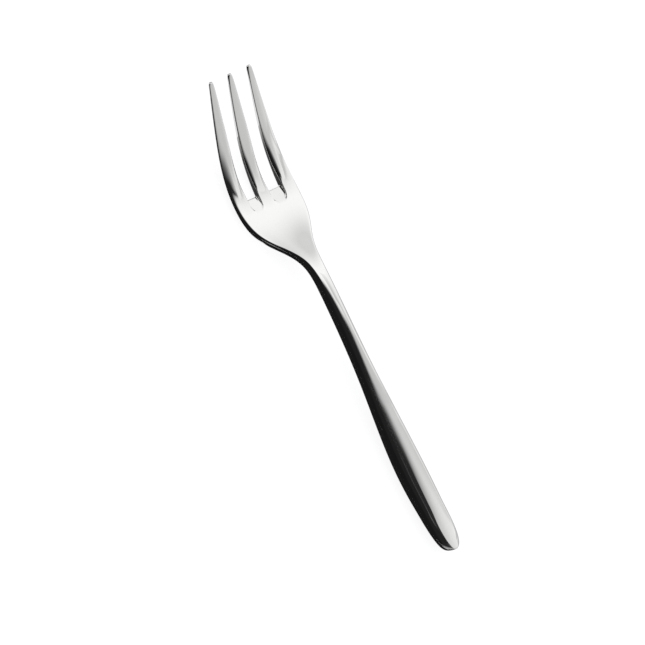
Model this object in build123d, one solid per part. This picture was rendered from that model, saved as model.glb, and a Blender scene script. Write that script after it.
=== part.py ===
from build123d import *
import math
import os

# Pastry fork, one forging, lying face up on a table.
# +X points to the tine tips, +Z up, +Y to the fork's left side.
# The origin lies on the table, under the middle of the fork's length.

# Lengths along X, from the tine tips back to the neck, each taken from the one before
fork_length = 150.0
taper_length = 20.0
bowl_length = 17.0
shoulder_length = 6.0
flare_length = 7.5
throat_length = 8.5
neck_length = 9.0
# Lengths along X, from the handle's end
swell_from_end = 24.0
nose_length = 9.0

# Widths across Y
tips_width = 16.3
tines_width = 21.0
head_width = 22.9
shoulder_width = 21.6
flare_width = 14.5
throat_width = 5.8
neck_width = 5.1
waist_width = 6.4
handle_width = 9.8
end_width = 7.6

# Heights of the top line over the table
tip_height = 14.8
tines_height = 6.0
bowl_height = 2.3
shoulder_height = 2.85
flare_height = 5.2
throat_height = 9.2
neck_height = 10.1
waist_height = 8.1
swell_height = 6.4
end_height = 5.9

# Thickness from the top line down to the underside
tip_thickness = 1.1
tines_thickness = 1.8
bowl_thickness = 2.3
shoulder_thickness = 2.7
flare_thickness = 3.3
throat_thickness = 3.9
neck_thickness = 4.3
waist_thickness = 5.0
swell_thickness = 6.4
end_thickness = 4.6

# Cross-section: a top that is dished in the bowl and crowned on the handle, round flanks, a shallow belly
tip_dish = 0.05
tines_dish = 0.45
bowl_dish = 1.1
shoulder_dish = 1.05
flare_dish = 0.7
handle_crown = 0.45
rim_angle = 62.0
flank_share = 0.43

# Tines and the slots between them: a slot goes through to its root, where the metal is a thin lip,
# and a valley rises from the lip to the bowl's face
tine_length = 34.3
middle_tip_width = 1.3
middle_tine_width = 3.35
middle_root_width = 3.7
outer_tip_width = 1.6
outer_tine_width = 4.05
outer_root_width = 4.75
tip_round = 0.7
tip_clear = 0.06
root_lip = 0.3
valley_length = 4.7
valley_corner = 0.8

# Handle's end: lean of its wall under the rim, in degrees, the round along its lower edge,
# and how far outside the flanks the rounded nose starts
end_lean = 16.0
end_round = 1.0
end_clear = 0.15

# Cross-sections that the loft runs through, and halvings that find a value on a guide line
section_count = 40
halving_count = 40

x_tip = fork_length / 2
x_tines = x_tip - taper_length
x_bowl = x_tines - bowl_length
x_shoulder = x_bowl - shoulder_length
x_flare = x_shoulder - flare_length
x_throat = x_flare - throat_length
x_neck = x_throat - neck_length
x_end = -fork_length / 2
x_swell = x_end + swell_from_end
x_waist = (x_neck + x_swell) / 2
x_root = x_tip - tine_length

# Each station gives its place, width, top height, thickness and crown
stations = [
    (x_end, end_width, end_height, end_thickness, handle_crown),
    (x_swell, handle_width, swell_height, swell_thickness, handle_crown),
    (x_waist, waist_width, waist_height, waist_thickness, handle_crown),
    (x_neck, neck_width, neck_height, neck_thickness, handle_crown),
    (x_throat, throat_width, throat_height, throat_thickness, 0),
    (x_flare, flare_width, flare_height, flare_thickness, -flare_dish),
    (x_shoulder, shoulder_width, shoulder_height, shoulder_thickness, -shoulder_dish),
    (x_bowl, head_width, bowl_height, bowl_thickness, -bowl_dish),
    (x_tines, tines_width, tines_height, tines_thickness, -tines_dish),
    (x_tip, tips_width, tip_height, tip_thickness, -tip_dish),
]


def guide(column):
    points = [Vector(row[0], row[column]) for row in stations]
    return Spline(points, tangents=[points[1] - points[0], points[-1] - points[-2]])


width_line, top_line, thickness_line, crown_line = [guide(column) for column in (1, 2, 3, 4)]


def value_at(line, x):
    low, high = 0.0, 1.0
    for _ in range(halving_count):
        middle = (low + high) / 2
        if line.position_at(middle).X < x:
            low = middle
        else:
            high = middle
    return line.position_at(low).Y


def section(x):
    half = value_at(width_line, x) / 2
    top = value_at(top_line, x)
    under = top - value_at(thickness_line, x)
    crown = value_at(crown_line, x)
    rim = top - crown
    flank = flank_share * min(top - under, rim - under)
    rim_half = half - flank * (1 - math.cos(math.radians(rim_angle)))
    widest = rim - flank * math.sin(math.radians(rim_angle))
    # The belly arc runs into both flank arcs without a corner
    depth = widest - under
    belly = ((half - flank) ** 2 + depth**2 - flank**2) / (2 * (depth - flank))
    join = Vector(0, under + belly) + Vector(half - flank, depth - belly).normalized() * belly
    outline = Bezier((-rim_half, rim), (0, rim + 2 * crown), (rim_half, rim))
    outline += ThreePointArc((rim_half, rim), (half, widest), (join.X, join.Y))
    outline += ThreePointArc((join.X, join.Y), (0, under), (-join.X, join.Y))
    outline += ThreePointArc((-join.X, join.Y), (-half, widest), (-rim_half, rim))
    return Plane((x, 0, 0), x_dir=(0, 1, 0), z_dir=(1, 0, 0)) * make_face(outline)


def blank():
    places = [x_end + fork_length * i / section_count for i in range(section_count + 1)]
    return loft([section(x) for x in places])


# Sides of the left slot and its valley in plan: the middle tine's left side and the left tine's inner side
x_back = x_root - 2 * valley_length
middle_root = middle_root_width / 2
outer_root = value_at(width_line, x_root) / 2 - outer_root_width
middle_side = Spline(
    (x_back, middle_root),
    (x_root, middle_root),
    (x_tines, middle_tine_width / 2),
    (x_tip, middle_tip_width / 2),
)
outer_side = Spline(
    (x_back, outer_root),
    (x_root, outer_root),
    (x_tines, tines_width / 2 - outer_tine_width),
    (x_tip, tips_width / 2 - outer_tip_width),
)


# The slot goes right through as far as its root, and a valley rises from there to the bowl's face
def slot():
    outline = middle_side + outer_side
    outline += Line(middle_side @ 0, outer_side @ 0) + Line(middle_side @ 1, outer_side @ 1)
    prism = extrude(make_face(outline), amount=2 * tip_height, both=True)
    belly = value_at(top_line, x_root) - value_at(thickness_line, x_root)
    floor_start = Vector(x_root, belly + root_lip)
    floor_end = Vector(x_root - valley_length, value_at(top_line, x_root - valley_length))
    floor_far = floor_start + 3 * (floor_end - floor_start)
    deep = -2 * tip_height
    floor = Polyline((x_root, deep), floor_start, floor_far, (floor_far.X, deep), close=True)
    cut = prism - extrude(Plane.XZ * make_face(floor), amount=head_width, both=True)
    corners = []
    for wall in cut.faces().filter_by(GeomType.EXTRUSION):
        for edge in wall.edges():
            if x_back + valley_corner < edge.center().X < x_root - valley_corner:
                corners.append(edge)
    return fillet(corners, valley_corner)


# What a round tip leaves to trim from a tine that lies between two values of Y
def tip_trim(inner, outer):
    middle = (inner + outer) / 2
    width = outer - inner
    block = Pos(x_tip, middle) * Rectangle(2 * tip_round, 2 * width)
    plan = block - Pos(x_tip - tip_round, middle) * Ellipse(tip_round, width / 2 + tip_clear)
    return extrude(plan, amount=2 * tip_height)


# What the rounded handle end leaves to trim, with a wall that leans in under the rim
def end_trim():
    x_nose = x_end + nose_length
    half = value_at(width_line, x_nose) / 2 + end_clear
    block = Pos(x_end, 0) * Rectangle(2 * nose_length, 2 * handle_width)
    plan = block - Pos(x_nose, 0) * Ellipse(nose_length, half)
    lean = math.radians(end_lean)
    direction = (-math.sin(lean), 0, math.cos(lean))
    return extrude(Pos(0, 0, end_height) * plan, amount=2 * end_height, dir=direction, both=True)


left_slot = slot()
fork = blank() - left_slot - mirror(left_slot, Plane.XZ)

x_round = x_tip - tip_round
middle_half = value_at(middle_side, x_round)
left_trim = tip_trim(value_at(outer_side, x_round), value_at(width_line, x_round) / 2)
fork = fork - tip_trim(-middle_half, middle_half) - left_trim - mirror(left_trim, Plane.XZ) - end_trim()

# Soften the lower edge of the end wall
end_wall = fork.faces().sort_by(Axis.X)[0]
fork = fillet(end_wall.edges().sort_by(Axis.Z)[0], end_round)

# Set the fork down on the table
fork = Pos(0, 0, -fork.bounding_box().min.Z) * fork
print("volume", fork.volume, "valid", fork.is_valid, fork.bounding_box())

os.makedirs("parts", exist_ok=True)
export_step(fork, "parts/fork.step")
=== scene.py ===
import math
from types import SimpleNamespace
import bmesh
import bpy
import numpy as np
from mathutils import Matrix, Vector


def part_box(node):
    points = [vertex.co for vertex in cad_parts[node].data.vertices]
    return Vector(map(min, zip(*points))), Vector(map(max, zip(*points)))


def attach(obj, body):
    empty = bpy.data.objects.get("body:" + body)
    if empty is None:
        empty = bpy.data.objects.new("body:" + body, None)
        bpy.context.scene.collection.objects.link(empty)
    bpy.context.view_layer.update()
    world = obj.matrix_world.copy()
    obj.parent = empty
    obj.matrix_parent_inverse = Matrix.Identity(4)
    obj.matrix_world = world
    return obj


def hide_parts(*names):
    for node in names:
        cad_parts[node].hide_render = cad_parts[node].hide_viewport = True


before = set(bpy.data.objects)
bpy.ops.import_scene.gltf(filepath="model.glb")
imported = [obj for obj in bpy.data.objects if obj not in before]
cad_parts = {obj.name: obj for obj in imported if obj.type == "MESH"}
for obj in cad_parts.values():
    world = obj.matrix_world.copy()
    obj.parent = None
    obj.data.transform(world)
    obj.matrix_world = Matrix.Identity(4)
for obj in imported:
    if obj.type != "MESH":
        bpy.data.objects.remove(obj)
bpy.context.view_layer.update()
print("frame loaded:", sorted(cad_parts))

mm = 0.001
imageSize = 645


# sRGB hex to a linear colour
def hexColour(code):
    parts = [int(code[i:i + 2], 16) / 255 for i in (1, 3, 5)]
    linear = [p / 12.92 if p <= 0.04045 else ((p + 0.055) / 1.055) ** 2.4 for p in parts]
    return (*linear, 1.0)


# adds a node with its settings, its fixed inputs and its links from other sockets
def addNode(tree, kind, settings=None, values=None, links=None):
    node = tree.nodes.new(kind)
    for name, value in (settings or {}).items():
        setattr(node, name, value)
    for name, value in (values or {}).items():
        node.inputs[name].default_value = value
    for name, socket in (links or {}).items():
        tree.links.new(socket, node.inputs[name])
    return node


def smoothStep(value):
    t = min(1.0, max(0.0, value))
    return t * t * (3 - 2 * t)


# smooth share of the way from a start to an end
def ramp(value, start, end):
    return smoothStep((value - start) / (end - start))


def blend(a, b, share):
    return a + (b - a) * share


# value at a place on a list of (place, value) pairs
def readLine(pairs, at):
    return float(np.interp(at, *zip(*pairs)))


# the fork in mm, lying face up: +x to the tine tips, heights over the table
forkShape = {
    "stations": [  # x, width, top height, thickness, crown (negative where the top is dished)
        (-75.0, 7.6, 5.75, 4.2, 0.04),  # handle's end
        (-51.0, 9.8, 6.4, 6.4, 0.12),  # swell
        (-22.0, 6.4, 8.1, 5.0, 0.45),  # waist
        (7.0, 5.1, 10.1, 4.3, 0.45),  # neck
        (17.0, 6.4, 9.0, 3.8, -0.05),  # throat
        (24.5, 13.7, 5.2, 3.3, -0.7),  # flare
        (32.0, 21.6, 2.85, 2.7, -1.05),  # shoulder
        (38.0, 22.9, 2.3, 2.3, -1.1),  # bowl
        (55.0, 21.0, 6.0, 1.8, -0.45),  # tines
        (75.0, 16.3, 14.8, 1.1, -0.05),  # tips
    ],
    "guideSteps": 4000,  # places at which the lines through the stations are worked out
    "rimAngle": 62.0,  # where the round flank meets the top, in degrees
    "flatShare": [  # x and the flat top's share of the handle's width
        (-75, 0.45), (-72, 0.51), (-67, 0.517), (-63, 0.385),
        (-55, 0.345), (-50, 0.34), (-43, 0.37), (-36, 0.48),
    ],
    "flatBlend": (-24, -36),  # x where the flat top starts and where it is complete
    "flankBend": (0.25, 0.74),  # bulge of the handle's flank: shares of the way in and up to the rim
    "flankShare": [(16, 0.43), (30, 0.52), (46, 0.5), (58, 0.43)],  # x and share of the thickness
    "smoothLevels": 2,
    # tines and the slots between them
    "tines": {
        "length": 34.3,
        "middleHalf": (1.95, 2.05, 0.85),  # half width of the middle tine: root, midway, tip
        "outerWidth": (4.85, 4.3, 1.75),  # width of an outer tine at the same places
        "edgeRound": [  # x and rounding of the slot edges
            (40.7, 0.12), (42, 0.25), (46, 0.65), (51, 0.62),
            (56, 0.34), (60, 0.2), (71, 0.18), (75, 0.45),
        ],
        "slotDrop": [  # x and their fall
            (40.7, 0.0), (46.0, 0.1), (52.0, 0.09), (58.0, 0.03), (75.0, 0.02),
        ],
        "rimDrop": [  # x and fall of the outer edges
            (28, 0), (36, 0.2), (42, 0.45), (47, 0.75), (52, 0.7),
            (55, 0.55), (59, 0.32), (63, 0.2), (69, 0.08), (75, 0.05),
        ],
        "besideDrop": (0.3, 0.1),  # shares of rimDrop and slotDrop one column in from those edges
        "flankDrop": (0.85, 0.3, 0.05),  # shares of rimDrop down the flank
        "bellyRound": 0.24,  # rounding of the lower edges
        "wallGap": 0.1,  # least height between the rounded edge and the middle of the slot's wall
        "wallBlend": 8.0,  # length over which the wall's middle leaves the height of the lip at the root
        "setBack": (1.8, 0.45),  # towards the tip, the face falls back over this length, this far
        "edgeShares": (0.25, 0.5, 0.8),  # places down an edge from face to belly
        "edgeDraw": 0.7,  # share of the tip's narrowing that the edges take
        "lastFront": (0.6, 0.12),  # with less of the width left than this share, edges stand out this far
        "tipShares": (0.22, 0.5, 0.8),  # places down the tip's front
        "tipBulge": 0.16,
    },
    # the valley that climbs from a slot's root to the bowl's face
    "valley": {
        "length": 4.7,
        "reach": 1.2,  # times its length before the root, the columns are those of the slot
        "lip": 1.4,  # height of the metal left at the root
        "lipFoot": 0.3,  # share of that height at which the lip's lower edge is held
        "steepDepth": 0.4,  # depth from which the walls are steep
        "wallDrop": (0.12, 0.2),  # most that a wall's top falls, and share of the depth
        "foot": (0.06, 0.97),  # how far a wall's foot stands in, and share of the depth
        "crease": 0.8,  # sharpness of the walls' edges
    },
    # the handle's rounded end
    "end": {
        "length": 14.0,
        "power": (3.2, 3.6, 3.0, 2.2, 2.0),  # bluntness of the outline from the rim down, 2 for an ellipse
        "lean": 16.0,  # lean of the end wall under the rim, in degrees
        "round": 0.8,  # rounding of the wall's lower edge
        "roundHold": 0.8,  # share of it at which the wall's lowest line is held
        "foot": 1.4,  # height of the wall's foot
        "wallShares": (0.2, 0.5),  # places down the wall
        "rimCrease": [(-62.0, 0.8), (-36.0, 0.0)],  # x and sharpness of the handle's rim
        "crease": 0.8,  # sharpness of the rim round the end
    },
    # rows of the cage from the handle's end to the tips
    "rows": {
        "nose": (1.0, 0.88, 0.72, 0.5, 0.25),  # shares of the end's length
        "bodyCount": 46,
        "valley": (0.98, 0.78, 0.58, 0.38, 0.18, 0.05, 0.0),  # shares of its length before the root
        "root": (0.35, 1.2, 2.6),  # past the root
        "tineSpan": (4.4, 1.6),  # even rows from this far past the root to this far before the tip
        "tineCount": 14,
        "tip": ((0.75, 1.0), (0.38, 0.84), (0.16, 0.5)),  # before the tip, and share of the width left
    },
}
tineShape, valleyShape, endShape = (forkShape[name] for name in ("tines", "valley", "end"))

stations = forkShape["stations"]
xEnd, xTip = stations[0][0], stations[-1][0]
xNeck, xTines = stations[3][0], stations[8][0]
xRoot = xTip - tineShape["length"]
valleyLength = valleyShape["length"]
noseLength = endShape["length"]
xNose = xEnd + noseLength
bellyRound = tineShape["bellyRound"]
rimAngle = math.radians(forkShape["rimAngle"])
leanSlope = math.tan(math.radians(endShape["lean"]))
endHeight = stations[0][2]


# smooth curve through points with its ends along the first and last chords, read by x
def guide(points):
    points = np.array(points, float)
    chords = np.linalg.norm(np.diff(points, axis=0), axis=1)
    steps = np.concatenate([[0], np.cumsum(chords)])
    count = len(points)
    matrix, right = np.zeros((count, count)), np.zeros((count, 2))
    matrix[0, 0] = matrix[-1, -1] = 1
    right[0] = (points[1] - points[0]) / chords[0]
    right[-1] = (points[-1] - points[-2]) / chords[-1]
    for i in range(1, count - 1):
        before, after = chords[i - 1], chords[i]
        matrix[i, i - 1:i + 2] = after, 2 * (before + after), before
        climb = after / before * (points[i] - points[i - 1]) + before / after * (points[i + 1] - points[i])
        right[i] = 3 * climb
    slopes = np.linalg.solve(matrix, right)
    places = np.linspace(0, steps[-1], forkShape["guideSteps"])
    span = np.clip(np.searchsorted(steps, places, side="right") - 1, 0, count - 2)
    length = chords[span][:, None]
    t = (places - steps[span])[:, None] / length
    line = (2 * t**3 - 3 * t**2 + 1) * points[span] + (t**3 - 2 * t**2 + t) * length * slopes[span]
    line += (3 * t**2 - 2 * t**3) * points[span + 1] + (t**3 - t**2) * length * slopes[span + 1]
    return lambda x: float(np.interp(x, line[:, 0], line[:, 1]))


widthAt, topAt, thicknessAt, crownAt = [guide([(row[0], row[k]) for row in stations]) for k in range(1, 5)]
xBack = xRoot - 2 * valleyLength
middleRoot, middleWay, middleTip = tineShape["middleHalf"]
outerRoot, outerWay, outerTip = tineShape["outerWidth"]
rootSide = widthAt(xRoot) / 2 - outerRoot
tineSide = stations[8][1] / 2 - outerWay
tipSide = stations[9][1] / 2 - outerTip
middleSide = guide([(xBack, middleRoot), (xRoot, middleRoot), (xTines, middleWay), (xTip, middleTip)])
outerSide = guide([(xBack, rootSide), (xRoot, rootSide), (xTines, tineSide), (xTip, tipSide)])


# cross-section at x: a crowned or dished top, round flanks and a shallow belly arc that runs into them
def sectionAt(x):
    half, top, crown = widthAt(x) / 2, topAt(x), crownAt(x)
    under, rim = top - thicknessAt(x), top - crown
    flat = ramp(x, *forkShape["flatBlend"])
    flank = readLine(forkShape["flankShare"], x) * min(top - under, rim - under)
    widest = rim - flank * math.sin(rimAngle)
    depth = widest - under
    belly = ((half - flank) ** 2 + depth**2 - flank**2) / (2 * (depth - flank))
    rimHalf = half - flank * (1 - math.cos(rimAngle))
    rimHalf = blend(rimHalf, half * readLine(forkShape["flatShare"], x), flat)
    return SimpleNamespace(
        half=half, rim=rim, crown=crown, under=under, flank=flank, widest=widest, belly=belly,
        rimHalf=rimHalf, join=math.atan2(depth - belly, half - flank), flat=flat,
    )


def rimHalfAt(x):
    return sectionAt(x).rimHalf


def faceHeight(x, y):
    s = sectionAt(x)
    across = min(1.0, abs(y) / s.rimHalf)
    return s.rim + s.crown * (1 - across**2 if s.crown > 0 else 0.5 + 0.5 * math.cos(math.pi * across))


def bellyHeight(x, y):
    s = sectionAt(x)
    return s.under + s.belly - math.sqrt(s.belly**2 - y**2)


# points down the round flank, pushed out so that the smoothed skin keeps the flank's radius, then its foot
def flankPoints(x):
    s = sectionAt(x)
    steps = (rimAngle / 2, (rimAngle - s.join) / 4, -s.join / 2, 0)
    points = []
    for angle, step in zip((rimAngle / 2, 0, s.join / 2, s.join), steps):
        radius = s.flank * (3 / (2 + math.cos(step)) if step else 1)
        points.append((s.half - s.flank + radius * math.cos(angle), s.widest + radius * math.sin(angle)))
    bendIn, bendUp = forkShape["flankBend"]
    bend = (blend(s.half, s.rimHalf, bendIn), blend(s.widest, s.rim, bendUp))
    points[0] = tuple(blend(a, b, s.flat) for a, b in zip(points[0], bend))
    return points


# the slot's valley: its floor climbs from the lip at the root to the bowl's face
lipHeight = topAt(xRoot) - thicknessAt(xRoot) + valleyShape["lip"]
xValley = xRoot - valleyShape["reach"] * valleyLength


def valleyDepth(x, y):
    share = (xRoot - x) / valleyLength
    floor = blend(lipHeight, faceHeight(xRoot - valleyLength, y), share)
    return max(0.0, faceHeight(x, y) - floor)


# columns of the left half from the rim to the middle line
# 3 to 9 cross a slot: edge, wall, foot, floor, and back over foot and wall to the other edge
bellyOf = [0, 1, 2, 3, 3, 4, 4, 4, 5, 5, 6]  # belly column under each face column
faceOf = [0, 1, 2, 3, 6, 9, 10]  # face column over each belly column
faceLast, bellyLast = len(bellyOf) - 1, len(faceOf) - 1


def slotLines(x, inset):
    outer, middle = outerSide(x), middleSide(x)
    anchors = [rimHalfAt(x), outer + inset, (outer + middle) / 2, middle - inset, 0]
    return np.interp(range(faceLast + 1), [0, 3, 6, 9, faceLast], anchors)


valleyShares = slotLines(xValley, readLine(tineShape["edgeRound"], xValley)) / rimHalfAt(xValley)


# places of the columns: along the slots in the head, evenly over the handle
def columnLines(x, inset):
    if x > xValley:
        return slotLines(x, inset)
    even = 1 - np.arange(faceLast + 1) / faceLast
    return blend(valleyShares, even, ramp(x, xValley, xNeck)) * rimHalfAt(x)


def facePoints(x):
    lines = columnLines(x, readLine(tineShape["edgeRound"], x))
    points = [[y, faceHeight(x, y)] for y in lines]
    slotDrop, rimDrop = (readLine(tineShape[name], x) for name in ("slotDrop", "rimDrop"))
    besideRim, besideSlot = tineShape["besideDrop"]
    drops = {0: rimDrop, 1: besideRim * rimDrop, 2: besideSlot * slotDrop, 3: slotDrop, 9: slotDrop}
    for k, drop in drops.items():
        points[k][1] -= drop
    depth = valleyDepth(x, lines[6]) if xValley < x <= xRoot else 0
    steep = ramp(depth, 0, valleyShape["steepDepth"])
    mostDrop, dropShare = valleyShape["wallDrop"]
    footIn, footShare = valleyShape["foot"]
    for wall, foot, side, inward in ((4, 5, outerSide(x), -1), (8, 7, middleSide(x), 1)):
        points[wall][0] = blend(points[wall][0], side, steep)
        points[wall][1] = faceHeight(x, points[wall][0]) - min(mostDrop, dropShare * depth)
        points[foot][0] = blend(points[foot][0], side + footIn * inward, steep)
        points[foot][1] = faceHeight(x, points[foot][0]) - footShare * depth
    points[6][1] -= depth
    return points


def bellyPoints(x):
    lines = columnLines(x, bellyRound)[faceOf]
    lines *= flankPoints(x)[3][0] / rimHalfAt(x) if x <= xValley else 1
    lines[0] = flankPoints(x)[3][0]
    lines[1:3] = np.interp([1, 2], [0, 3], [lines[0], lines[3]])
    return [[y, bellyHeight(x, y)] for y in lines]


verts, faces, creases = [], [], {}
face, belly, posts = {}, {}, {}


def addVert(x, y, z):
    verts.append((x * mm, y * mm, z * mm))
    return len(verts) - 1


def place(index):
    return [c / mm for c in verts[index]]


# column number on the left (side 1) or the right (side -1)
def faceColumn(k, side):
    return k if side == 1 else 2 * faceLast - k


def bellyColumn(k, side):
    return k if side == 1 else 2 * bellyLast - k


# each row's kind and its place: a share of the end's length, x, or x and the share of the width left
rowPlan = forkShape["rows"]
pastRoot, beforeTip = rowPlan["tineSpan"]
bodyRows = list(np.linspace(xNose, xValley, rowPlan["bodyCount"]))
valleyRows = [xRoot - valleyLength * s for s in rowPlan["valley"]]
tineRows = [xRoot + s for s in rowPlan["root"]]
tineRows += list(np.linspace(xRoot + pastRoot, xTip - beforeTip, rowPlan["tineCount"]))
tipRows = [(xTip - s, left) for s, left in rowPlan["tip"]]
rows = [("nose", s) for s in rowPlan["nose"]] + [("body", x) for x in bodyRows + valleyRows]
rootRow = len(rows) - 1
rows += [("tine", x) for x in tineRows] + [("tip", t) for t in tipRows]
lastRow = len(rows) - 1


# a square bent into the half ellipse of the handle's end: shares along it and across it
def noseShares(share, along, power):
    xi, eta = along * math.sqrt(1 - share**2 / 2), share * math.sqrt(1 - along**2 / 2)
    stretch = math.hypot(xi, eta) / (xi**power + eta**power) ** (1 / power)
    return xi * stretch, eta * stretch


# a tine's points draw in towards its own middle line at the tip
def drawIn(x, y, which, share):
    middle = (outerSide(x) + widthAt(x) / 2) / 2 if which == "outer" else 0
    return middle + (y - middle) * share


# the end of a tine is square to it, so its face stops a little before its belly
tipSlope = topAt(xTip) - topAt(xTip - 1)


def faceX(x):
    length, back = tineShape["setBack"]
    return x - back * max(0.0, (x - xTip + length) / length)


# places down the edge between face and belly
def edgePlaces(x, narrow):
    below, most = tineShape["lastFront"]
    front = most if narrow < below else 0
    return [blend(faceX(x), x, share) + front for share in tineShape["edgeShares"]]


def rowPlace(r):
    kind, at = rows[r]
    return at if kind == "tip" else (at, 1.0)


bellyFoot = flankPoints(xNose)[3][0]
bellyNose = noseLength - (endHeight - endShape["foot"]) * leanSlope - endShape["round"]
for r, (kind, at) in enumerate(rows):
    for side in (1, -1):
        if kind == "nose":
            for k in range(faceLast + 1):
                xi, eta = noseShares(1 - k / faceLast, at, endShape["power"][0])
                x = xNose - noseLength * xi
                y = rimHalfAt(x) * eta
                if (r, faceColumn(k, side)) not in face:
                    face[r, faceColumn(k, side)] = addVert(x, side * y, faceHeight(x, y))
            for k, over in enumerate(faceOf):
                xi, eta = noseShares(1 - over / faceLast, at, endShape["power"][-1])
                x, y = xNose - bellyNose * xi, bellyFoot * eta
                if (r, bellyColumn(k, side)) not in belly:
                    belly[r, bellyColumn(k, side)] = addVert(x, side * y, bellyHeight(x, y))
            continue
        x, narrow = rowPlace(r)
        split = kind in ("tine", "tip")
        for k, (y, z) in enumerate(facePoints(faceX(x))):
            if (r, faceColumn(k, side)) in face or split and 3 < k < 9:
                continue
            y = drawIn(x, y, "outer" if k <= 3 else "middle", narrow) if split else y
            face[r, faceColumn(k, side)] = addVert(faceX(x), side * y, z)
        for k, (y, z) in enumerate(bellyPoints(x)):
            if (r, bellyColumn(k, side)) in belly or split and k == 4:
                continue
            y = drawIn(x, y, "outer" if k <= 3 else "middle", narrow) if split else y
            belly[r, bellyColumn(k, side)] = addVert(x, side * y, z)

for grid, last in ((face, faceLast), (belly, bellyLast)):
    for r in range(lastRow):
        for k in range(2 * last):
            corners = [(r, k), (r, k + 1), (r + 1, k + 1), (r + 1, k)]
            if all(c in grid for c in corners):
                faces.append([grid[c] for c in corners])


# a post runs down the edge of the metal, from the face's rim to the belly's rim
def addPost(key, top, points, bottom):
    if key not in posts:
        posts[key] = [top] + [p if isinstance(p, int) else addVert(*p) for p in points] + [bottom]
    return posts[key]


def bridge(first, second):
    for k in range(len(first) - 1):
        ring = [first[k], second[k], second[k + 1], first[k + 1]]
        if ring[2] == ring[3]:
            ring.pop()
        faces.append(ring)


# posts round the handle's end: the flank turns into the leaning end wall
def nosePost(r, k, side):
    top, bottom = face[r, faceColumn(k, side)], belly[r, bellyColumn(bellyOf[k], side)]
    high, low = place(top)[2], place(bottom)[2]
    wall = [blend(high, low, share) for share in endShape["wallShares"]]
    wall.append(low + endShape["roundHold"] * endShape["round"])
    points = []
    for (y, z), wallHeight, power in zip(flankPoints(xNose), wall, endShape["power"][1:]):
        xi, eta = noseShares(1 - k / faceLast, rows[r][1], power)
        z = blend(z, wallHeight, xi)
        length = noseLength - (endHeight - z) * leanSlope * xi
        points.append((xNose - length * xi, side * y * eta, z))
    return addPost(("nose", r, faceColumn(k, side)), top, points, bottom)


def flankPost(r, side):
    if rows[r][0] == "nose":
        return nosePost(r, 0, side)
    x, narrow = rowPlace(r)
    rimDrop = readLine(tineShape["rimDrop"], x)
    points = []
    for (y, z), drop, at in zip(flankPoints(x), tineShape["flankDrop"], edgePlaces(x, narrow)):
        y = drawIn(x, y, "outer", blend(1, narrow, tineShape["edgeDraw"])) if narrow < 1 else y
        points.append((at, side * y, z - drop * rimDrop + tipSlope * (at - x)))
    top, bottom = face[r, faceColumn(0, side)], belly[r, bellyColumn(0, side)]
    return addPost(("flank", r, side), top, points, bottom)


def wallPost(r, side, which):
    x, narrow = rowPlace(r)
    y = outerSide(x) if which == "outer" else middleSide(x)
    y = drawIn(x, y, which, blend(1, narrow, tineShape["edgeDraw"]))
    high = faceHeight(x, y) - readLine(tineShape["slotDrop"], x)
    low = bellyHeight(x, y)
    edge = min(readLine(tineShape["edgeRound"], x), 0.5 * (high - low))
    centre = blend(lipHeight, (high + low) / 2, ramp(x, xRoot, xRoot + tineShape["wallBlend"]))
    centre = min(centre, high - edge - tineShape["wallGap"])
    heights = (high - edge, centre, low + bellyRound)
    points = [(at, side * y, z + tipSlope * (at - x)) for at, z in zip(edgePlaces(x, narrow), heights)]
    k, under = (3, 3) if which == "outer" else (9, 5)
    top, bottom = face[r, faceColumn(k, side)], belly[r, bellyColumn(under, side)]
    return addPost((which, r, side), top, points, bottom)


def tipPost(k, under, side):
    top, bottom = face[lastRow, faceColumn(k, side)], belly[lastRow, bellyColumn(under, side)]
    x, y, high = place(top)
    xLow, _, low = place(bottom)
    bulge = tineShape["tipBulge"]
    points = []
    for share in tineShape["tipShares"]:
        points.append((blend(x, xLow, share) + bulge, y, blend(high, low, share) + bulge * tipSlope))
    return addPost(("tip", faceColumn(k, side)), top, points, bottom)


# a point on the lower edge of the lip at a slot's root
def lipPoint(y, side):
    return xRoot, side * y, bellyHeight(xRoot, y) + valleyShape["lipFoot"] * valleyShape["lip"]


for side in (1, -1):
    corners = []
    for columns, under, y in (((3, 4, 5), 3, outerSide(xRoot)), ((9, 8, 7), 5, middleSide(xRoot))):
        column = [face[rootRow, faceColumn(k, side)] for k in columns]
        bottom = belly[rootRow, bellyColumn(under, side)]
        points = column[1:] + [lipPoint(y, side)]
        corners.append(addPost(("corner", columns[0], side), column[0], points, bottom))
    outline = [nosePost(0, k, side) for k in range(faceLast, 0, -1)]
    outline += [flankPost(r, side) for r in range(lastRow + 1)]
    outline += [tipPost(1, 1, side), tipPost(2, 2, side)]
    outline += [wallPost(r, side, "outer") for r in range(lastRow, rootRow, -1)] + [corners[0]]
    inner = [corners[1]] + [wallPost(r, side, "middle") for r in range(rootRow + 1, lastRow + 1)]
    inner.append(tipPost(faceLast, bellyLast, side))
    for line in (outline, inner):
        for first, second in zip(line[:-1], line[1:]):
            bridge(first, second)
    # the lip across the slot's root
    y = (outerSide(xRoot) + middleSide(xRoot)) / 2
    middle = addVert(*lipPoint(y, side))
    lip = [face[rootRow, faceColumn(6, side)], middle, belly[rootRow, bellyColumn(4, side)]]
    bridge(corners[0][2:], lip)
    bridge(lip, corners[1][2:])
    # sharper edges: the handle's rim towards its end, and the walls of the valley
    for r in range(rootRow):
        first, second = face[r, faceColumn(0, side)], face[r + 1, faceColumn(0, side)]
        creases[first, second] = readLine(endShape["rimCrease"], place(first)[0])
        if place(first)[0] > xRoot - valleyLength:
            for k in (4, 5, 7, 8):
                column = faceColumn(k, side)
                creases[face[r, column], face[r + 1, column]] = valleyShape["crease"]
    for k in range(faceLast):
        creases[face[0, faceColumn(k, side)], face[0, faceColumn(k + 1, side)]] = endShape["crease"]

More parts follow.
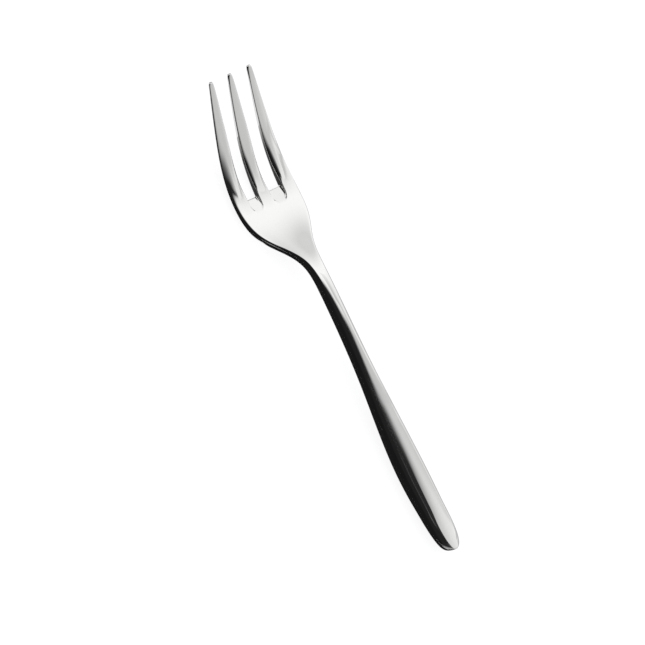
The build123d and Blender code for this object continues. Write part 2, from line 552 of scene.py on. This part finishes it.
print("fork cage:", len(verts), "points,", len(faces), "faces")


def makeFork():
    mesh = bpy.data.meshes.new("fork_skin")
    mesh.from_pydata(verts, [], faces)
    build = bmesh.new()
    build.from_mesh(mesh)
    bmesh.ops.recalc_face_normals(build, faces=build.faces)
    layer = build.edges.layers.float.new("crease_edge")
    build.verts.ensure_lookup_table()
    for (first, second), sharpness in creases.items():
        build.edges.get((build.verts[first], build.verts[second]))[layer] = sharpness
    print("open edges:", sum(len(e.link_faces) != 2 for e in build.edges))
    build.to_mesh(mesh)
    build.free()
    mesh.shade_smooth()
    skin = bpy.data.objects.new("fork_skin", mesh)
    bpy.context.scene.collection.objects.link(skin)
    smooth = skin.modifiers.new("smooth", "SUBSURF")
    smooth.levels = smooth.render_levels = forkShape["smoothLevels"]
    shown = skin.evaluated_get(bpy.context.evaluated_depsgraph_get()).to_mesh()
    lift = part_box("fork")[0][2] - min(v.co.z for v in shown.vertices)
    print("triangles:", sum(len(p.vertices) - 2 for p in shown.polygons))
    for vertex in mesh.vertices:
        vertex.co.z += lift
    return skin


forkSkin = makeFork()
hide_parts("fork")
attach(forkSkin, "root")

# mirror-polished 18/10 steel: clear reflections, broken slightly by fine buffing lines along the fork
steelLook = {
    "colour": "#dcdcdb",
    "roughness": (0.04, 0.09),
    "lineWidth": 0.12,  # mm, drawn coarser than real buffing marks so that they show
    "lineLength": 9.0,
    "lineDetail": 3.0,
    "lineRange": (0.3, 0.7),  # part of the noise that is spread over the roughness
    "bump": 0.03,
    "bumpDepth": 0.02,  # mm
}


def makeSteel():
    material = bpy.data.materials.new("polished_steel")
    material.use_nodes = True
    tree = material.node_tree
    shader = tree.nodes["Principled BSDF"]
    shader.inputs["Base Color"].default_value = hexColour(steelLook["colour"])
    shader.inputs["Metallic"].default_value = 1.0
    across = 1 / (steelLook["lineWidth"] * mm)
    scale = (1 / (steelLook["lineLength"] * mm), across, across)
    where = addNode(tree, "ShaderNodeTexCoord")
    source = {"Vector": where.outputs["Object"]}
    stretch = addNode(tree, "ShaderNodeMapping", values={"Scale": scale}, links=source)
    fine = {"Scale": 1.0, "Detail": steelLook["lineDetail"]}
    lines = addNode(tree, "ShaderNodeTexNoise", values=fine, links={"Vector": stretch.outputs["Vector"]})
    least, most = steelLook["lineRange"]
    low, high = steelLook["roughness"]
    spread = {"From Min": least, "From Max": most, "To Min": low, "To Max": high}
    rough = addNode(tree, "ShaderNodeMapRange", values=spread, links={"Value": lines.outputs["Fac"]})
    depth = {"Strength": steelLook["bump"], "Distance": steelLook["bumpDepth"] * mm}
    bump = addNode(tree, "ShaderNodeBump", values=depth, links={"Height": lines.outputs["Fac"]})
    tree.links.new(rough.outputs["Result"], shader.inputs["Roughness"])
    tree.links.new(bump.outputs["Normal"], shader.inputs["Normal"])
    return material


forkSkin.data.materials.append(makeSteel())
print("steel on:", forkSkin.name)

# camera: long lens, looking down on the fork's left side
cameraView = {
    "tilt": 35.85,  # from straight above towards the fork's left side, in degrees
    "lean": -3.48,  # from there towards the handle
    "turn": 62.55,  # the handle's direction in the picture, clockwise from level
    "pixelsPerMm": 3.509,
    "originPixel": (325.24, 322.05),
    "distance": 8.0,  # in metres
    "clipEnd": 30.0,
    "sensorWidth": 36.0,  # in mm
}


def makeCamera():
    tilt, lean, turn = (math.radians(cameraView[k]) for k in ("tilt", "lean", "turn"))
    back = Vector((math.sin(lean), math.cos(lean) * math.sin(tilt), math.cos(lean) * math.cos(tilt)))
    along = Vector((-1, 0, 0))
    along = (along - back * along.dot(back)).normalized()
    across = back.cross(along)
    right = along * math.cos(turn) + across * math.sin(turn)
    up = across * math.cos(turn) - along * math.sin(turn)
    pixel = mm / cameraView["pixelsPerMm"]
    column, line = cameraView["originPixel"]
    target = right * (imageSize / 2 - column) * pixel + up * (line - imageSize / 2) * pixel
    data = bpy.data.cameras.new("camera")
    data.sensor_width = cameraView["sensorWidth"]
    data.lens = data.sensor_width * cameraView["distance"] / (imageSize * pixel)
    data.clip_end = cameraView["clipEnd"]
    camera = bpy.data.objects.new("camera", data)
    bpy.context.scene.collection.objects.link(camera)
    axes = Matrix((right, up, back)).transposed().to_4x4()
    camera.matrix_world = Matrix.Translation(target + back * cameraView["distance"]) @ axes
    bpy.context.scene.camera = camera


makeCamera()
print("camera set:", cameraView["distance"], "m away")

# studio: a curved screen over the fork in metres, lit on its right side and black on its left
# places are along the fork, and angles are in degrees round the screen from the left
studio = {
    "radius": 1.2,
    "halfLength": 2.0,
    "points": (161, 91),  # along and round
    "rightGlow": [  # place and brightness
        (-1.2, 0.76), (-0.6, 0.74), (-0.3, 0.76), (-0.09, 0.73), (-0.06, 0.82),
        (-0.04, 1.0), (-0.02, 1.08), (0.08, 1.2), (0.24, 1.32), (0.4, 1.3),
        (0.6, 1.2), (0.8, 1.08), (1.0, 0.97), (1.25, 0.88), (1.6, 0.9),
    ],
    "leftGlow": [
        (-1.3, 0.5), (-0.9, 0.42), (-0.72, 0.2), (-0.58, 0.03), (-0.26, 0.02), (0.85, 0.015), (1.05, 1.1),
    ],
    "edgeAngle": [  # place and angle at which black turns to light
        (-0.7, 90), (-0.35, 98), (-0.16, 101), (-0.085, 117), (-0.065, 106), (-0.05, 97),
        (0.0, 93), (0.05, 88), (0.1, 86), (0.2, 82), (0.35, 82), (0.5, 95),
    ],
    "edgeSoft": [  # place and half the angle over which it does
        (-0.35, 27), (-0.2, 16), (-0.12, 12), (-0.085, 20), (-0.05, 14), (0.0, 12),
    ],
    "darkest": 0.012,
    # the left side is dimmed near the table, except past these angles or past these places
    "lowDim": {"glow": 0.12, "angles": (30, 60), "places": (-0.4, -0.6)},
    # the right side is lifted near the table, past both these angles and these places
    "sideLift": {"glow": 1.35, "angles": (128, 163), "places": (-0.12, -0.2)},
}


def screenGlow(x, angle):
    right, left = readLine(studio["rightGlow"], x), readLine(studio["leftGlow"], x)
    dim, lift = studio["lowDim"], studio["sideLift"]
    full = max(ramp(angle, *dim["angles"]), ramp(x, *dim["places"]))
    left = max(studio["darkest"], left * blend(dim["glow"], 1, full))
    right *= blend(1, lift["glow"], ramp(angle, *lift["angles"]) * ramp(x, *lift["places"]))
    edge, soft = readLine(studio["edgeAngle"], x), readLine(studio["edgeSoft"], x)
    return blend(left, right, ramp(angle, edge - soft, edge + soft))


# stage mesh with a brightness at each point, seen only in the metal
def makeGlow(name, points, quads, glow):
    mesh = bpy.data.meshes.new(name)
    mesh.from_pydata(points, [], quads)
    mesh.attributes.new("glow", "FLOAT", "POINT").data.foreach_set("value", glow)
    material = bpy.data.materials.new(name)
    material.use_nodes = True
    tree = material.node_tree
    tree.nodes.clear()
    value = addNode(tree, "ShaderNodeAttribute", settings={"attribute_name": "glow"})
    light = addNode(tree, "ShaderNodeEmission", links={"Strength": value.outputs["Fac"]})
    addNode(tree, "ShaderNodeOutputMaterial", links={"Surface": light.outputs["Emission"]})
    mesh.materials.append(material)
    thing = bpy.data.objects.new(name, mesh)
    bpy.context.scene.collection.objects.link(thing)
    thing.visible_camera = thing.visible_diffuse = thing.visible_shadow = False


# faces of a grid of points that are listed row by row
def gridQuads(rowCount, columnCount):
    quads = []
    for row in range(rowCount - 1):
        for a in range(row * columnCount, (row + 1) * columnCount - 1):
            quads.append((a, a + 1, a + 1 + columnCount, a + columnCount))
    return quads


def makeScreen():
    points, glow = [], []
    along, around = studio["points"]
    for x in np.linspace(-studio["halfLength"], studio["halfLength"], along):
        for angle in np.linspace(0, 180, around):
            turn = math.radians(angle)
            points.append((x, studio["radius"] * math.cos(turn), studio["radius"] * math.sin(turn)))
            glow.append(screenGlow(x, angle))
    makeGlow("screen", points, gridQuads(along, around), glow)


# cards on the table in mm: x and the range of y at one end and at the other, then the brightness at both
cards = {
    "handle_card": (-140, -5, 1100, 26, -5, 1100, 0.012, 0.012),
    "head_card": (26, 10, 1100, 58, 10, 1100, 0.012, 0.012),
    "tine_card": (58, 10, 1100, 74, 10, 1100, 0.012, 0.5),
    "left_strip": (36, 1.0, 10, 52, 3.2, 10, 0.03, 0.08),
    "left_fade": (52, 3.2, 10, 59, 4.9, 10, 0.08, 0.6),
    "right_strip": (36, -7.15, 1.0, 52, -5.0, 3.2, 0.03, 0.08),
    "right_fade": (52, -5.0, 3.2, 59, -3.3, 4.9, 0.08, 0.6),
    "tip_card": (84, -90, -3, 300, -90, -3, 0.02, 0.02),
    "grey_card": (-200, -400, -6, 14, -400, -6, 0.62, 0.62),
    "bowl_card": (14, -400, -13, 41, -400, -13, 0.62, 0.62),
}
cardHeight = 0.1


def makeCards():
    for name, (x0, low0, high0, x1, low1, high1, glow0, glow1) in cards.items():
        corners = ((x0, low0), (x1, low1), (x1, high1), (x0, high0))
        points = [(x * mm, y * mm, cardHeight * mm) for x, y in corners]
        makeGlow(name, points, [(0, 1, 2, 3)], [glow0, glow1, glow1, glow0])


# graded screens over the right side in mm: one whitens the tines' roots, one lights the handle's end
gradedScreens = {
    "root_screen": {
        "ends": (0, 32),
        "glow": (0.75, 1.12),
        "sides": [  # y, push along the fork, share of the glow at the screen's start and further on
            (-600, -60, 1, 1), (-200, -38, 1, 1), (-72, 0, 1, 1), (-34, 4, 1, 1),
        ],
    },
    "handle_screen": {
        "ends": (-36, -84),
        "glow": (0.76, 1.15),
        "sides": [
            (-600, 0, 1.06, 1.06), (-84, 0, 1.06, 1.06), (-70, 0, 0.96, 0.96), (-56, 0, 0.78, 0.78),
            (-42, 0, 0.48, 0.5), (-30, 0, 0.22, 0.03), (-18, 0, 0.05, 0.03), (6, 0, 0.03, 0.03),
        ],
    },
}
gradedHeight = 100
gradedSteps = 13
gradedStart = 0.35  # share of a screen's length in which its start turns into the rest


def makeGradedScreens():
    for name, screen in gradedScreens.items():
        points, glow = [], []
        for share in np.linspace(0, 1, gradedSteps):
            x = blend(*screen["ends"], share)
            bright = blend(*screen["glow"], smoothStep(share))
            for y, push, first, then in screen["sides"]:
                points.append(((x + push) * mm, y * mm, gradedHeight * mm))
                glow.append(bright * blend(first, then, smoothStep(share / gradedStart)))
        makeGlow(name, points, gridQuads(gradedSteps, len(screen["sides"])), glow)


# a dark screen across the studio beyond the handle's end, in metres
endScreen = {"x": -1.95, "sides": (-0.2, 1.2), "height": 1.2, "glow": [0.12, 0.03, 0.03, 0.25]}


def makeEndScreen():
    x, height = endScreen["x"], endScreen["height"]
    right, left = endScreen["sides"]
    points = [(x, right, 0), (x, left, 0), (x, left, height), (x, right, height)]
    makeGlow("end_screen", points, [(0, 1, 2, 3)], endScreen["glow"])


makeScreen()
makeGradedScreens()
makeEndScreen()
makeCards()
print("studio lit:", len(cards), "cards")

# pale floor: mostly its own white, with some light so that the fork keeps a soft shadow
floorLook = {"glow": 0.88, "colour": "#76767a", "half": 6.0}


def makeFloor():
    mesh = bpy.data.meshes.new("floor")
    half = floorLook["half"]
    corners = [(-half, -half, 0), (half, -half, 0), (half, half, 0), (-half, half, 0)]
    mesh.from_pydata(corners, [], [(0, 1, 2, 3)])
    material = bpy.data.materials.new("matt_white_floor")
    material.use_nodes = True
    tree = material.node_tree
    tree.nodes.clear()
    matt = addNode(tree, "ShaderNodeBsdfDiffuse", values={"Color": hexColour(floorLook["colour"])})
    light = addNode(tree, "ShaderNodeEmission", values={"Strength": floorLook["glow"]})
    both = addNode(tree, "ShaderNodeAddShader")
    tree.links.new(matt.outputs["BSDF"], both.inputs[0])
    tree.links.new(light.outputs["Emission"], both.inputs[1])
    addNode(tree, "ShaderNodeOutputMaterial", links={"Surface": both.outputs["Shader"]})
    mesh.materials.append(material)
    floor = bpy.data.objects.new("floor", mesh)
    bpy.context.scene.collection.objects.link(floor)


makeFloor()

world = bpy.data.worlds.new("studio")
bpy.context.scene.world = world
world.use_nodes = True
world.node_tree.nodes["Background"].inputs["Color"].default_value = (1, 1, 1, 1)
bpy.context.scene.view_settings.view_transform = "Standard"
print("floor and world set")
